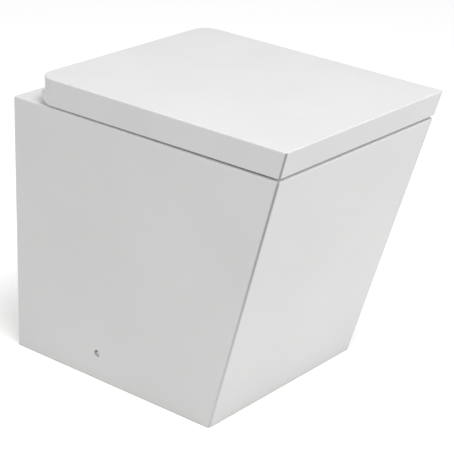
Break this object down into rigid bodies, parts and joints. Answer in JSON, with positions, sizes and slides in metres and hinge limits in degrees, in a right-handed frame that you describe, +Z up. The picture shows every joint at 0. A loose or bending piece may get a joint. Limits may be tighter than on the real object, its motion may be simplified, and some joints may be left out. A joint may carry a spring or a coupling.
{
  "type": "back-to-wall toilet",
  "caption": "Angular floor-standing back-to-wall toilet pan with box rim, P-trap and rear outlet, and a wrap-over soft-close seat and lid that hinge up.",
  "frame": {"origin": "middle of the overall box, on the floor", "axes": "+Z up, +Y towards the wall, +X across the width; the user sits facing -Y"},
  "size_m": [0.3728, 0.4795, 0.442],
  "materials": {
    "glaze": "smooth glossy white glaze",
    "lid_plastic": "smooth satin-gloss white",
    "seat_plastic": "smooth satin-gloss white",
    "cap_plastic": "smooth white",
    "polished_metal": "polished plating",
    "steel": "fine turned metal",
    "gasket_rubber": "matt grey",
    "seal_rubber": "matt black",
    "buffer_rubber": "matt off-white",
    "washer_plastic": "natural nylon",
    "nut_plastic": "natural nylon",
    "bracket_plastic": "moulded, slightly grained",
    "bush_plastic": "dark bearing plastic",
    "damper_plastic": "dark grey"
  },
  "bodies": {
    "pan": {"pan": "glaze", "inlet_seal": "seal_rubber", "hinge_arm_left": "polished_metal", "hinge_arm_right": "polished_metal", "hinge_pin_left": "steel", "hinge_pin_right": "steel", "hinge_bolt_left": "steel", "hinge_bolt_right": "steel", "hinge_gasket_left": "gasket_rubber", "hinge_gasket_right": "gasket_rubber", "deck_sleeve_left": "gasket_rubber", "deck_sleeve_right": "gasket_rubber", "clamp_washer_left": "washer_plastic", "clamp_washer_right": "washer_plastic", "wing_nut_left": "nut_plastic", "wing_nut_right": "nut_plastic", "floor_bracket_left": "bracket_plastic", "floor_bracket_right": "bracket_plastic", "side_screw_left": "steel", "side_screw_right": "steel", "side_sleeve_left": "bracket_plastic", "side_sleeve_right": "bracket_plastic", "side_cap_left": "cap_plastic", "side_cap_right": "cap_plastic"},
    "seat": {"seat_ring": "seat_plastic", "seat_buffers": "buffer_rubber", "seat_bush_left": "bush_plastic", "seat_bush_right": "bush_plastic", "seat_damper": "damper_plastic"},
    "lid": {"lid": "lid_plastic", "lid_buffers": "buffer_rubber", "lid_bush_left": "bush_plastic", "lid_bush_right": "bush_plastic", "lid_damper": "damper_plastic"}
  },
  "joints": [
    {"name": "seat_hinge", "type": "hinge", "parent": "pan", "child": "seat", "pos_m": [0, 0.183, 0.426], "axis": [-1, 0, 0], "range_deg": [0, 92]},
    {"name": "lid_hinge", "type": "hinge", "parent": "seat", "child": "lid", "pos_m": [0, 0.183, 0.426], "axis": [-1, 0, 0], "range_deg": [0, 95]}
  ]
}
